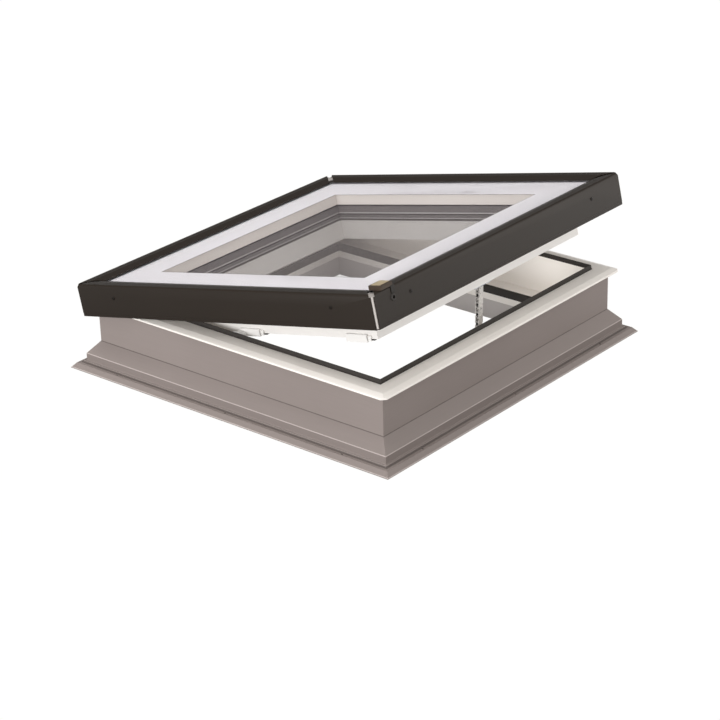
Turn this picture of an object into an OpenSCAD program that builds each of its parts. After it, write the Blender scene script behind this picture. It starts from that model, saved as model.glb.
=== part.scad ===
// Opening roof skylight for flat roofs: a plastic curb with a roof flange, and a
// glazed sash with metal covers, hinged at the back and lifted by a chain drive.
// The origin is the centre of the curb's underside, +Z is up, and the sash opens at -Y.

/* [Curb] */
// Width of the curb over its walls, along X
curb_w = 900; // [600:10:1400]
// Length of the curb over its walls, along Y
curb_l = 900; // [600:10:1400]
// Height of the flat top of the rim above the roof
rim_h = 178.5; // [150:0.5:260]
// How far the roof flange stands out from the wall
flange_out = 56.3; // [50:0.1:90]
// How far the foot of the splayed wall stands out
splay_out = 27.3; // [15:0.1:40]
// Height at which the wall starts to splay
splay_top = 68; // [50:0.5:90]
// Height of the foot of the splayed wall
splay_foot = 36.8; // [26:0.1:48]
// Depth of the outer profile, from the wall inwards
outer_t = 30; // [20:0.5:40]
// Thickness of the whole curb at its base
curb_t = 97; // [90:0.5:120]
// How far the rim overhangs the wall
rim_out = 21.5; // [10:0.5:28]
// Corner cut at each corner of the rim
rim_cut = 11; // [4:0.5:16]
// Depth of the rebate below the rim
rebate_depth = 98.5; // [90:0.5:130]
// Height of the lip at the inner edge of the rebate
lip_h = 8; // [5:0.5:14]
// Height of the rim gasket's blade
blade_h = 12; // [8:0.5:12.5]

/* [Sash] */
// Gap between the rim and the underside of the sash box
wing_gap = 13; // [13:0.5:20]
// How far the sash body stands in from the wall line
body_in = 55; // [52:0.5:65]
// Width of the sash body
body_w = 60; // [50:0.5:80]
// Height of the sash box above its underside
box_h = 22.5; // [18:0.5:30]
// How far the metal covers stand out from the wall line
cover_out = 33.5; // [33:0.5:40]
// Thickness of the cover sheet
cover_t = 1.8; // [1:0.1:2.5]
// Width of the cover's top, from its outer face to its inner edge
cover_top_w = 49.6; // [44:0.1:56]
// Height of the covers
cover_h = 82.1; // [70:0.1:100]
// Opening angle in the modelled pose, which is the fully open one
open_deg = 12.3; // [2:0.1:20]

/* [Glazing] */
// Thickness of every glass pane
pane_t = 4; // [3:0.5:8]
// Width of the white border, from the covers' outer face inwards
border_w = 151.8; // [150:0.1:180]
// Air space under the top pane
air_h = 27; // [16:0.5:32]
// Height of the upper spacer of the insulating unit
upper_spacer_h = 21; // [10:0.5:24]
// Height of the lower spacer of the insulating unit
lower_spacer_h = 10; // [8:0.5:16]

/* [Drive] */
// Depth of the drive's swivel axis below the rebate floor
drive_drop = 18; // [16:0.5:22]
// Distance of the drive's swivel axis from the front wall line
drive_in = 73; // [70:0.5:76]
// Distance of the chain bracket's pin from the outer face of the sash body
hook_in = 13.284; // [12.5:0.001:15]
// Distance between two rivets of the chain
chain_pitch = 12.5; // [11:0.1:14]
// Number of chain links above the sprocket
chain_links = 17; // [6:1:22]
// Length of the drive housing
drive_len = 360; // [300:5:420]

/* [Fasteners] */
// Distance of the cover screws from the middle of each side
cover_screw_at = 355; // [200:5:420]
// Shank radius of the small screws
screw_r = 2; // [1.5:0.1:2.5]
// Radius of the holes for the roof screws
roof_hole_r = 2.75; // [2:0.05:3.5]
// Distance of the outer roof screws from the middle of each side
roof_hole_at = 360; // [200:5:430]

/* [Hidden] */
$fn = 48;

// Plastic wall thickness of the hollow profiles
skin = 3.2;
web = 3;
// Resting gap between two parts that close on each other
seat_gap = 0.3;
// Running clearance on the radius of a turning fit
run_gap = 0.06;
// Reach of the mitre cuts outside and inside the wall line
mitre_out = 90;
mitre_in = 150;
mitre_h = 700;

// Colours of the materials
c_curb = [0.55, 0.51, 0.48];
c_white = [0.93, 0.92, 0.90];
c_lining = [0.78, 0.75, 0.72];
c_foam = [0.95, 0.95, 0.97];
c_rubber = [0.10, 0.09, 0.08];
c_cover = [0.17, 0.15, 0.13];
c_steel = [0.62, 0.63, 0.65];
c_glass = [0.75, 0.82, 0.82, 0.35];
c_spacer = [0.22, 0.22, 0.23];
c_gold = [0.72, 0.64, 0.48];
c_brown = [0.28, 0.23, 0.19];
c_housing = [0.80, 0.80, 0.80];

// ---- Curb heights and offsets; an offset is measured outwards from the wall line ----
rim_t = 8.5;                          // thickness of the rim
cap_z = rim_h - rim_t;                // top of the outer profile
liner_t = 4;                          // wall of the liner
rebate_o = -outer_t - liner_t;        // face of the rebate
floor_z = rim_h - rebate_depth;       // rebate floor
lip_z = floor_z + lip_h;
inner_wall_t = 3;                     // the liner's inner wall
lip_in = -curb_t + 3.5;               // inner face of the lip
lip_t = 5;
nose_h = 18;                          // plain white band below the ledge gasket
band_h = lip_h + 10;                  // height of the gasket on the lip's inner face
band_z = lip_z - band_h;
nose_z = band_z - nose_h;
wall_in = -curb_t + 3;                // liner wall behind the lower lining
seal_h = 3.2;                         // the ledge gasket's height above the lip
gasket_w = 5.4;                       // width of the rim gasket's foot
flange_z = 13;                        // height of the flange's top
flange_edge = flange_out - 10.8;      // where the flange's edge slopes down
roof_hole_o = flange_edge - 6;        // the roof screws' offset

// ---- Sash heights and offsets, with the sash closed ----
wing_z = rim_h + wing_gap;
sash_bottom = lip_z + seal_h + seat_gap;
sash_top = wing_z + box_h;
body_o = -body_in;                    // outer face of the sash body
light_o = -body_in - body_w;          // inner face, the daylight edge
pocket_o = light_o + 26;              // wall of the pocket for the insulating unit
pane_gap = 4;                         // air around the insulating unit
unit_o = pocket_o - pane_gap;
unit_top = sash_top - air_h;
unit_h = 3 * pane_t + upper_spacer_h + lower_spacer_h;
unit_z = unit_top - unit_h;
tape_t = 1.5;                         // gasket under the insulating unit
seat_z = unit_z - tape_t;
wing_o = cover_out - 5.5;             // outer edge of the wing that carries the covers
wing_t = 8.5;
box_o = 2;                            // outer edge of the sash box
pane_o = -4;                          // edge of the top pane
border_t = 0.4;
pane_z = sash_top + border_t;
pane_top = pane_z + pane_t;
border_in = cover_out - border_w;

// ---- Covers ----
cover_z = sash_top + 13.6 - cover_h;  // lower edge
cover_top = cover_z + cover_h;
cover_edge = cover_out - cover_top_w; // inner edge of the top
cover_edge_z = pane_top + 3;
cover_fold = cover_out - 26;          // where the top starts to slope down
cover_fold_z = cover_top - 0.6;
cover_r = 5;
cover_return = 9.5;
cover_foot = 8;                       // height of the stepped foot
cover_step = 0.6;
face_gap = 6.2;                        // each cover's face stops this far from the corner
lip_gap = 9;                          // and its top this far
lip_gap_z = cover_top - 6;

// ---- Hinge line ----
hinge_y = curb_l / 2 + 0.7;
hinge_z = rim_h + 7.8;
hinge_at = 0.58;                      // the hinges' place, as a share of half the width
hinge_x = round(curb_w / 2 * hinge_at / 5) * 5;
leaf_len = 80;
leaf_t = 2.5;
leaf_w = 26.5;
knuckle_r = 5;
hinge_pin_r = 2.5;
knuckles = 5;
knuckle_gap = 0.4;

// ---- Drive and chain. Swivel axis and bracket pin lie at one distance from the hinge
// line, 837 mm, so the chain turns by half of the sash's angle ----
drive_y = -curb_l / 2 + drive_in;
drive_z = floor_z - drive_drop;
hook_y = -curb_l / 2 + body_in + hook_in; // bracket pin, with the sash closed
hook_z = sash_bottom + 7.5;
reach_r = norm([hinge_y - hook_y, hinge_z - hook_z]);
open_a = atan2(hinge_z - hook_z, hinge_y - hook_y) - open_deg;
open_y = hinge_y - reach_r * cos(open_a); // bracket pin, with the sash open
open_z = hinge_z - reach_r * sin(open_a);
chain_span = norm([open_y - drive_y, open_z - drive_z]);
chain_lean = atan2(drive_y - open_y, open_z - drive_z);
end_link_len = 18;
end_eye_r = 6;
last_rivet = chain_span - end_link_len;
plate_r = 4.6;
plate_t = 1.2;
plate_back = 12;                      // how far the stiff back stands from the rivets
inner_y = 3.2;
outer_y = inner_y + plate_t + 0.15;
rivet_r = 1.4;
bush_r = 2.6;
teeth = 8;
sprocket_r = chain_pitch / (2 * sin(180 / teeth));
sprocket_z = last_rivet - chain_links * chain_pitch;
wrap_links = 2;
house_y0 = -24;
house_y1 = 9;
house_z0 = -50;
house_z1 = 8;
house_t = 2;
house_x1 = 160;
house_x0 = house_x1 - drive_len;
shaft_r = 4;
swivel_r = 4;
cap_t = 3;
bracket_t = 3;
slot_x0 = -8;
slot_x1 = plate_back + 3.5;

// ---- Guide blocks and posts ----
block_len = 62;
block_y = [0, -335];                  // middles, measured from the middle of the curb
block_t = 6;
block_up = 11.5;
block_down = 7;
nose_len = 9;
slit = 2.5;
post_w = 26;
post_shift = 12;

// ---- Rain sensor, measured from the corner of the covers ----
sensor_x0 = 31.5;
sensor_w = 41;
sensor_l = 37;
sensor_h = 9.6;
field_w = 33;
field_l = 27;
strap_w = 13;
strap_t = 1.5;
grommet_r = 9;
grommet_hole_r = 4;
grommet_drop = 26;

// ============================ shared construction ============================

// A welded ring: its child is the section, x outwards from the wall line and y up
module mitred_ring() {
  for (side = [0:3]) ring_side(side) children();
}

// One mitred side of a ring; side 0 is the back, and they run anticlockwise
module ring_side(side) {
  run = side % 2 == 0 ? curb_w : curb_l;
  far = side % 2 == 0 ? curb_l / 2 : curb_w / 2;
  rotate([0, 0, 90 * side]) translate([0, far, 0]) intersection() {
    translate([-run / 2 - mitre_out, 0, 0]) rotate([90, 0, 90])
      linear_extrude(run + 2 * mitre_out) children();
    mitre_wedge(run, -mitre_h / 2, mitre_h);
  }
}

// The space between the two mitre planes of one side
module mitre_wedge(run, z, h) {
  translate([0, 0, z]) linear_extrude(h)
    polygon([[-run / 2 - mitre_out, mitre_out], [run / 2 + mitre_out, mitre_out],
             [run / 2 - mitre_in, -mitre_in], [-run / 2 + mitre_in, -mitre_in]]);
}

// A box between two corners
module span_box(a, b) {
  translate(a) cube(b - a);
}

// A rectangle between two corners
module span_rect(a, b) {
  translate(a) square(b - a);
}

// A flat pane or plate whose edge lies at an offset from the wall line
module pane(o, z, t) {
  translate([-curb_w / 2 - o, -curb_l / 2 - o, z]) cube([curb_w + 2 * o, curb_l + 2 * o, t]);
}

// Cuts the four upright corners of a ring whose outer face lies at offset o
module corner_cuts(o, cut) {
  for (sx = [-1, 1], sy = [-1, 1])
    translate([sx * (curb_w / 2 + o), sy * (curb_l / 2 + o), 0])
      rotate([0, 0, atan2(sy, sx)]) translate([-cut / sqrt(2), -30, 0])
        cube([60, 60, mitre_h]);
}

// Turns the closed sash about the hinge line into its open pose
module in_sash() {
  translate([0, hinge_y, hinge_z]) rotate([-open_deg, 0, 0])
    translate([0, -hinge_y, -hinge_z]) children();
}

// The drive's own frame: origin on the swivel axis, z along the chain
module in_drive() {
  translate([0, drive_y, drive_z]) rotate([chain_lean, 0, 0]) children();
}

// A pan-head screw along +Z with its seat at z = 0 and its shank below
module screw(len, head_r = 4, head_h = 1.6) {
  translate([0, 0, -len]) cylinder(r = screw_r, h = len + head_h / 2);
  cylinder(r1 = head_r, r2 = head_r * 0.72, h = head_h);
}

// Turns its child, made for the back, to one of the four sides
module to_side(side) {
  far = side % 2 == 0 ? curb_l / 2 : curb_w / 2;
  rotate([0, 0, 90 * side]) translate([0, far, 0]) children();
}

// ================================== curb ==================================

module curb_section() {
  difference() {
    polygon([[-outer_t, 0], [flange_out, 0], [flange_out, 1.8], [flange_out - 2.1, 3.4],
             [flange_edge, flange_z], [flange_edge - 3.5, flange_z + 0.2],
             [splay_out + 8.7, flange_z + 0.8], [splay_out + 6, flange_z + 1.6],
             [splay_out + 5.2, flange_z + 4.6], [splay_out + 3.8, flange_z + 5.2],
             [splay_out + 2.3, flange_z + 4.2], [splay_out + 0.2, flange_z + 6],
             [splay_out, splay_foot], [0, splay_top], [0, cap_z], [-outer_t, cap_z]]);
    span_rect([-outer_t + skin, 4], [-skin, cap_z - skin]);
    polygon([[0, 4], [splay_out - skin, 4], [splay_out - skin, splay_foot - 1.2],
             [0, splay_top - 5]]);
  }
}

module curb_profile() {
  color(c_curb) difference() {
    mitred_ring() curb_section();
    roof_holes();
  }
}

// Three roof screw holes on each side, through the flange
module roof_holes() {
  for (side = [0:3], x = [-roof_hole_at, 0, roof_hole_at])
    to_side(side) translate([x, roof_hole_o, -1]) cylinder(r = roof_hole_r, h = flange_z + 9);
}

module liner_section() {
  difference() {
    polygon([[-outer_t, 0], [-outer_t, cap_z], [rim_out, cap_z], [rim_out, cap_z + 2.6],
             [rim_out - 1.3, cap_z + 4.2], [5, rim_h], [rebate_o, rim_h],
             [rebate_o, floor_z], [lip_in + lip_t, floor_z], [lip_in + lip_t, lip_z],
             [lip_in, lip_z], [lip_in, band_z], [-curb_t, band_z], [-curb_t, nose_z],
             [wall_in, nose_z], [wall_in, 0]]);
    span_rect([wall_in + inner_wall_t, 4], [rebate_o, floor_z - liner_t]);
  }
}

module inner_liner() {
  color(c_white) difference() {
    mitred_ring() liner_section();
    corner_cuts(rim_out, rim_cut);
    chain_slot(floor_z - liner_t - 1, liner_t + 2);
    for (s = [-1, 1]) hinge_screw_places(s) translate([0, 0, -20])
      cylinder(r = screw_r, h = 19);
    gland_hole();
  }
}

// The slot that the chain comes through
module chain_slot(z, h) {
  translate([slot_x0, drive_y - 10.5, z]) cube([slot_x1 - slot_x0, 19, h]);
}

module chain_outlet() {
  color(c_lining) difference() {
    span_box([slot_x0 - 6, drive_y - 16, floor_z], [slot_x1 + 6, drive_y + 14, floor_z + 2]);
    chain_slot(floor_z - 1, 4);
  }
}

module lower_lining() {
  color(c_lining) difference() {
    mitred_ring() span_rect([-curb_t + 0.4, 0], [wall_in, nose_z - seat_gap]);
    gland_hole();
  }
}

// Rigid foam in the outer profile, one block a side
module outer_insulation() {
  gap = 0.8;
  deep = outer_t - 2 * skin - 2 * gap;
  color(c_foam) for (side = [0:3]) {
    run = side % 2 == 0 ? curb_w : curb_l;
    to_side(side) span_box([-run / 2 + outer_t, -skin - gap - deep, 4],
                           [run / 2 - outer_t, -skin - gap, cap_z - skin - gap]);
  }
}

// Rigid foam in the liner, with the front's middle left free for the drive
module inner_insulation() {
  gap = 0.8;
  y0 = wall_in + inner_wall_t + gap;
  y1 = rebate_o - gap;
  z1 = floor_z - liner_t - gap;
  color(c_foam) for (side = [0:3]) {
    run = side % 2 == 0 ? curb_w / 2 + wall_in : curb_l / 2 + rebate_o - gap;
    to_side(side) difference() {
      span_box([-run, y0, 4], [run, y1, z1]);
      if (side == 2) span_box([-house_x1 - 30, y0 - 1, 0], [-house_x0 + 30, y1 + 1, z1 + 1]);
    }
  }
}

module rim_gasket() {
  g = rebate_o;
  top = rim_h + blade_h;
  color(c_rubber) mitred_ring()
    polygon([[g, rim_h], [g + gasket_w, rim_h], [g + gasket_w, rim_h + 1.5],
             [g + 4, rim_h + 2.4], [g + 3.2, top - 0.8], [g + 2.2, top],
             [g + 1, top - 0.6], [g + 1.2, rim_h + 2.4], [g, rim_h + 1.6]]);
}

module ledge_gasket() {
  color(c_rubber) mitred_ring()
    polygon([[lip_in, band_z], [-curb_t - 0.8, band_z], [-curb_t - 1.5, band_z + 1],
             [-curb_t - 1.5, lip_z + 0.5], [-curb_t, lip_z + seal_h],
             [lip_in, lip_z + seal_h], [lip_in + 3, lip_z + 1.6], [lip_in + 3, lip_z],
             [lip_in, lip_z]]);
}

// Posts on the rebate's side walls that keep the closing sash central
module guide_posts() {
  deep = body_in + rebate_o - block_t - 2;
  top = wing_z - 0.6;
  color(c_white) for (s = [-1, 1])
    translate([s * (curb_w / 2 + rebate_o), block_y[0] + post_shift, 0]) mirror([s > 0 ? 1 : 0, 0, 0])
      rotate([90, 0, 90]) linear_extrude(deep) {
        translate([-post_w / 2, floor_z]) square([post_w, top - 6 - floor_z]);
        translate([-post_w / 2 + 6, top - 7]) square([post_w - 12, 7]);
        for (e = [-1, 1]) translate([e * (post_w / 2 - 6), top - 6]) circle(r = 6);
      }
}

// The supply cable's way in, beside the drive
gland_x = house_x0 - 15;
gland_z = 30;

module gland_hole() {
  translate([gland_x, -curb_l / 2 - wall_in - 8, gland_z]) rotate([-90, 0, 0])
    cylinder(r = 6, h = 16);
}

module cable_gland() {
  color(c_rubber) translate([gland_x, -curb_l / 2 - wall_in, gland_z]) rotate([-90, 0, 0])
    difference() {
      union() {
        translate([0, 0, -inner_wall_t - 1.5]) cylinder(r = 6, h = inner_wall_t + 1.5);
        cylinder(r = 6, h = curb_t + wall_in);
        translate([0, 0, curb_t + wall_in + 0.3]) cylinder(r1 = 9, r2 = 7.5, h = 3);
        translate([0, 0, curb_t + wall_in - 0.2]) cylinder(r = 6, h = 1);
      }
      translate([0, 0, -20]) cylinder(r = 3.5, h = 40);
    }
}

// ================================= hinges =================================

leaf_back = -1.5;                     // the curb plate ends this far from the axis
sash_leaf_back = -knuckle_r - 0.5;    // and the sash plate this far
hinge_screws_x = [-28, 0, 28];
hinge_screw_y = -15;

// Places its child at each screw of one curb leaf, on top of the leaf
module hinge_screw_places(s) {
  for (x = hinge_screws_x)
    translate([s * hinge_x + x, hinge_y + hinge_screw_y, rim_h + leaf_t]) children();
}

// The knuckles of one leaf: even ones for the curb, odd ones for the sash
module knuckle_set(first, arm_y, arm_z0, arm_z1, bore) {
  w = leaf_len / knuckles;
  for (k = [first:2:knuckles - 1]) {
    x0 = -leaf_len / 2 + k * w + knuckle_gap / 2;
    translate([x0, 0, 0]) difference() {
      union() {
        rotate([0, 90, 0]) cylinder(r = knuckle_r, h = w - knuckle_gap);
        span_box([0, arm_y, arm_z0], [w - knuckle_gap, 0, arm_z1]);
      }
      translate([-1, 0, 0]) rotate([0, 90, 0]) cylinder(r = bore, h = w + 2);
    }
  }
}

module curb_leaf(s) {
  plate_z = rim_h - hinge_z;
  color(c_steel) translate([s * hinge_x, hinge_y, hinge_z]) {
    difference() {
      span_box([-leaf_len / 2, -leaf_w, plate_z], [leaf_len / 2, leaf_back, plate_z + leaf_t]);
      for (x = hinge_screws_x) translate([x, hinge_screw_y, plate_z - 1])
        cylinder(r = screw_r + 0.2, h = leaf_t + 2);
    }
    knuckle_set(0, -knuckle_r, plate_z + leaf_t / 2, 0, hinge_pin_r);
  }
}

module sash_leaf(s) {
  plate_z = wing_z - hinge_z;
  color(c_steel) in_sash() translate([s * hinge_x, hinge_y, hinge_z]) {
    difference() {
      span_box([-leaf_len / 2, -leaf_w, plate_z - leaf_t],
               [leaf_len / 2, sash_leaf_back, plate_z]);
      for (x = hinge_screws_x) translate([x, hinge_screw_y, plate_z - leaf_t - 1])
        cylinder(r = screw_r + 0.2, h = leaf_t + 2);
    }
    knuckle_set(1, sash_leaf_back - 1, 0, plate_z, hinge_pin_r + run_gap);
  }
}

module hinge_pin(s) {
  color(c_steel) translate([s * hinge_x - leaf_len / 2 - 2, hinge_y, hinge_z])
    rotate([0, 90, 0]) cylinder(r = hinge_pin_r, h = leaf_len + 4);
}

module hinge_curb_leaf_left() curb_leaf(-1);
module hinge_curb_leaf_right() curb_leaf(1);
module hinge_sash_leaf_left() sash_leaf(-1);
module hinge_sash_leaf_right() sash_leaf(1);
module hinge_pin_left() hinge_pin(-1);
module hinge_pin_right() hinge_pin(1);

module hinge_curb_screws() {
  color(c_steel) for (s = [-1, 1]) hinge_screw_places(s) screw(10, 3.6, 1.2);
}

module hinge_sash_screws() {
  color(c_steel) in_sash() for (s = [-1, 1], x = hinge_screws_x)
    translate([s * hinge_x + x, hinge_y + hinge_screw_y, wing_z - leaf_t])
      mirror([0, 0, 1]) screw(10, 3.6, 1.2);
}

// ================================== sash ==================================

module sash_section() {
  difference() {
    polygon([[light_o, sash_bottom], [body_o, sash_bottom], [body_o, wing_z],
             [wing_o, wing_z], [wing_o, wing_z + wing_t], [box_o, wing_z + wing_t],
             [box_o, sash_top], [pocket_o, sash_top], [pocket_o, seat_z], [light_o, seat_z]]);
    span_rect([light_o + web, sash_bottom + web], [body_o - web, seat_z - web]);
    span_rect([pocket_o + web, seat_z + 2], [body_o - web, wing_z - web]);
    span_rect([pocket_o + web, wing_z + web], [box_o - web, sash_top - web]);
  }
}

module sash_frame() {
  color(c_white) in_sash() difference() {
    mitred_ring() sash_section();
    // entry for the chain bracket, and the holes for its two screws
    span_box([-16, hook_y - 9.5, sash_bottom - 1], [16, hook_y + 9.5, sash_bottom + web + 1]);
    for (x = [-23, 23]) translate([x, hook_y, sash_bottom - 1])
      cylinder(r = screw_r, h = web + 2);
    for (side = [0:3], x = [-cover_screw_at, cover_screw_at]) cover_screw_place(side, x)
      translate([0, 0, -16]) cylinder(r = screw_r, h = 20);
    for (s = [-1, 1], x = hinge_screws_x)
      translate([s * hinge_x + x, hinge_y + hinge_screw_y, wing_z - 1])
        cylinder(r = screw_r, h = 10);
  }
}

// Steel tubes in the sash profile, one a side
module sash_steel() {
  o0 = pocket_o + web + 0.3;
  o1 = body_o - web - 0.3;
  z0 = seat_z + 2;
  z1 = wing_z - web - 1;
  t = 1.5;
  color(c_steel) in_sash() for (side = [0:3]) {
    run = (side % 2 == 0 ? curb_w : curb_l) / 2 + (side % 2 == 0 ? o0 - 0.5 : o1);
    to_side(side) difference() {
      span_box([-run, o0, z0], [run, o1, z1]);
      span_box([-run - 1, o0 + t, z0 + t], [run + 1, o1 - t, z1 - t]);
    }
  }
}

// White frame between the insulating unit and the top pane
module glazing_frame() {
  color(c_white) in_sash() mitred_ring() difference() {
    span_rect([light_o - 1.5, unit_top], [pocket_o - seat_gap, sash_top]);
    span_rect([light_o + 2, unit_top + 3], [pocket_o - 4, sash_top - 3]);
  }
}

module top_pane() {
  color(c_glass) in_sash() pane(pane_o, pane_z, pane_t);
}

module glass_border() {
  color(c_white) in_sash() difference() {
    pane(pane_o, sash_top, border_t);
    pane(border_in, sash_top - 1, border_t + 2);
  }
}

module unit_outer_pane() {
  color(c_glass) in_sash() pane(unit_o, unit_top - pane_t, pane_t);
}

module unit_middle_pane() {
  color(c_glass) in_sash() pane(unit_o, unit_z + pane_t + lower_spacer_h, pane_t);
}

module unit_inner_pane() {
  color(c_glass) in_sash() pane(unit_o, unit_z, pane_t);
}

// Spacer bar with its sealant, between two panes of the insulating unit
module spacer(z, h) {
  color(c_spacer) in_sash() mitred_ring()
    span_rect([light_o + 1, z], [light_o + 14, z + h]);
}

module upper_spacer() spacer(unit_top - pane_t - upper_spacer_h, upper_spacer_h);
module lower_spacer() spacer(unit_z + pane_t, lower_spacer_h);

module glazing_gasket() {
  color(c_rubber) in_sash() mitred_ring()
    span_rect([light_o + 1.5, seat_z], [unit_o - 2, unit_z]);
}

// Seal between the cover tops and the top pane
module cover_gasket() {
  slope = (cover_fold_z - cover_edge_z) / (cover_fold - cover_edge);
  o0 = cover_edge + 0.6;
  o1 = pane_o - 1;
  under = cover_edge_z - cover_t - 0.05;
  color(c_rubber) in_sash() mitred_ring()
    polygon([[o0, pane_top], [o1, pane_top], [o1, under + slope * (o1 - cover_edge)],
             [o0, under + slope * (o0 - cover_edge)]]);
}

// Section of a cover: stepped foot, face, rounded shoulder, and a top that slopes inwards
function shoulder(r) = [for (a = [0:15:90])
  [cover_out - cover_r + r * cos(a), cover_top - cover_r + r * sin(a)]];

module cover_section() {
  t = cover_t;
  step_z = cover_z + cover_foot;
  foot_o = cover_out - cover_step;
  polygon(concat(
    [[cover_out - cover_return, cover_z], [foot_o, cover_z], [foot_o, step_z - 0.6],
     [cover_out, step_z]],
    shoulder(cover_r),
    [[cover_fold, cover_fold_z], [cover_edge, cover_edge_z],
     [cover_edge, cover_edge_z - t], [cover_fold, cover_fold_z - t]],
    [for (i = [6:-1:0]) shoulder(cover_r - t)[i]],
    [[cover_out - t, step_z + 0.6], [foot_o - t, step_z], [foot_o - t, cover_z + t],
     [cover_out - cover_return, cover_z + t]]));
}

// Places its child on one cover screw, with +Z outwards from the cover's face
module cover_screw_place(side, x) {
  to_side(side) translate([x, cover_out, wing_z + wing_t / 2 - 0.4]) rotate([-90, 0, 0])
    children();
}

module cover(side) {
  run = side % 2 == 0 ? curb_w : curb_l;
  color(c_cover) in_sash() difference() {
    ring_side(side) cover_section();
    // the ends: the face stops short of the corner, and the top stops shorter
    for (e = [-1, 1]) to_side(side) {
      translate([e * (run / 2 + cover_out - face_gap + 50), 0, 0])
        cube([100, 400, mitre_h], center = true);
      translate([e * (run / 2 + cover_out - lip_gap), cover_out, lip_gap_z + 50])
        rotate([0, 0, e * -45]) translate([e * 50, 0, 0])
          cube([100, 200, 100], center = true);
    }
    for (x = [-cover_screw_at, cover_screw_at]) cover_screw_place(side, x)
      translate([0, 0, -5]) cylinder(r = screw_r + 0.3, h = 8);
    if (side == 2) sensor_grommet_hole();
  }
}

module cover_back() cover(0);
module cover_left() cover(1);
module cover_front() cover(2);
module cover_right() cover(3);

// Plastic clips between the sash wing and the covers, at the cover screws
module cover_clips() {
  color(c_white) in_sash() for (side = [0:3], x = [-cover_screw_at, cover_screw_at])
    difference() {
      to_side(side) span_box([x - 15, wing_o, wing_z], [x + 15, cover_out - cover_t, wing_z + wing_t]);
      cover_screw_place(side, x) translate([0, 0, -10]) cylinder(r = screw_r, h = 12);
    }
}

module cover_screws() {
  color(c_cover) in_sash() for (side = [0:3], x = [-cover_screw_at, cover_screw_at])
    cover_screw_place(side, x) screw(16, 4.2, 1.5);
}

// White corner pieces behind the covers, seen in the gap between them
module corner_keys() {
  o1 = cover_out - cover_t - cover_step - seat_gap;
  o0 = wing_o + 0.3;
  z1 = cover_top - 6.8;
  leg = 34;
  color(c_white) in_sash() intersection() {
    difference() {
      mitred_ring() {
        span_rect([o0, cover_z + cover_t + 0.7], [o1, z1]);
        span_rect([pane_o + 1.5, z1 - 1.8], [o1, z1]);
      }
      corner_cuts(o1, 2.2);
    }
    for (sx = [-1, 1], sy = [-1, 1])
      translate([sx * (curb_w / 2 + o1 - leg / 2), sy * (curb_l / 2 + o1 - leg / 2), sash_top])
        cube([leg + 2, leg + 2, 400], center = true);
  }
}

// ============================ guide blocks and feet ============================

module block_shape(s, y) {
  x0 = curb_w / 2 - body_in;
  z0 = sash_bottom - block_down;
  translate([s * x0, y, 0]) mirror([s < 0 ? 1 : 0, 0, 0]) {
    span_box([-12, -block_len / 2, z0], [block_t, block_len / 2, sash_bottom]);
    span_box([0, -block_len / 2, z0 + 1], [block_t, block_len / 2, sash_bottom + block_up]);
    // hooked nose with a slit behind it
    span_box([-12, -block_len / 2 - slit - nose_len, z0 + 3],
             [block_t - 1, -block_len / 2 - slit, sash_bottom]);
    span_box([-12, -block_len / 2 - slit, z0 + 3], [-4, -block_len / 2, sash_bottom]);
    span_box([0, -block_len / 2 - slit - nose_len, sash_bottom - 1],
             [block_t - 2, -block_len / 2 - slit, sash_bottom + block_up - 3]);
  }
}

module guide_blocks() {
  color(c_white) in_sash() for (s = [-1, 1], y = block_y) block_shape(s, y);
}

module block_feet() {
  z1 = sash_bottom;
  y1 = -block_len / 2 - slit - nose_len;
  color(c_rubber) in_sash() for (s = [-1, 1], y = block_y)
    translate([s * (curb_w / 2 - body_in), y, 0]) mirror([s < 0 ? 1 : 0, 0, 0])
      span_box([-10, y1 - 9, z1 - 3], [2, y1, z1]);
}

// ================================ rain sensor ================================

corner_x = -curb_w / 2 - cover_out;
corner_y = -curb_l / 2 - cover_out;
strap_x = corner_x + sensor_x0 + sensor_w - 9;

module sensor_body() {
  r = 3;
  x0 = corner_x + sensor_x0;
  y0 = corner_y - 1.5;
  color(c_brown) in_sash() translate([x0, y0, cover_top]) difference() {
    union() {
      for (i = [0, 1], j = [0, 1])
        translate([r + i * (sensor_w - 2 * r), r + j * (sensor_l - 2 * r), 0])
          cylinder(r = r, h = sensor_h);
      span_box([r, 0, 0], [sensor_w - r, sensor_l, sensor_h]);
      span_box([0, r, 0], [sensor_w, sensor_l - r, sensor_h]);
    }
    // seat of the sensing field, and the strap's passage under the body
    span_box([sensor_w - field_w - 1, 7, sensor_h - 1.2],
             [sensor_w - 1, 7 + field_l, sensor_h + 1]);
    span_box([sensor_w - 9.2, -1, -1], [sensor_w - 9 + strap_w + 1, 20, strap_t + 0.2]);
  }
}

module sensor_field() {
  x0 = corner_x + sensor_x0 + sensor_w - field_w - 1;
  color(c_gold) in_sash()
    span_box([x0, corner_y + 5.5, cover_top + sensor_h - 1.2],
             [x0 + field_w, corner_y + 5.5 + field_l, cover_top + sensor_h + 0.6]);
}

// Metal strap under the sensor that holds it down the front cover's face
module sensor_strap() {
  y0 = corner_y - strap_t - 0.2;
  color(c_cover) in_sash() {
    span_box([strap_x, y0, cover_top + 0.1], [strap_x + strap_w, corner_y + 16, cover_top + strap_t + 0.1]);
    span_box([strap_x, y0, cover_top - 17], [strap_x + strap_w, y0 + strap_t, cover_top + strap_t]);
  }
}

module sensor_grommet_hole() {
  translate([strap_x + 4, corner_y + 10, cover_top - grommet_drop]) rotate([90, 0, 0])
    cylinder(r = grommet_hole_r + 1.5, h = 20);
}

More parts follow.
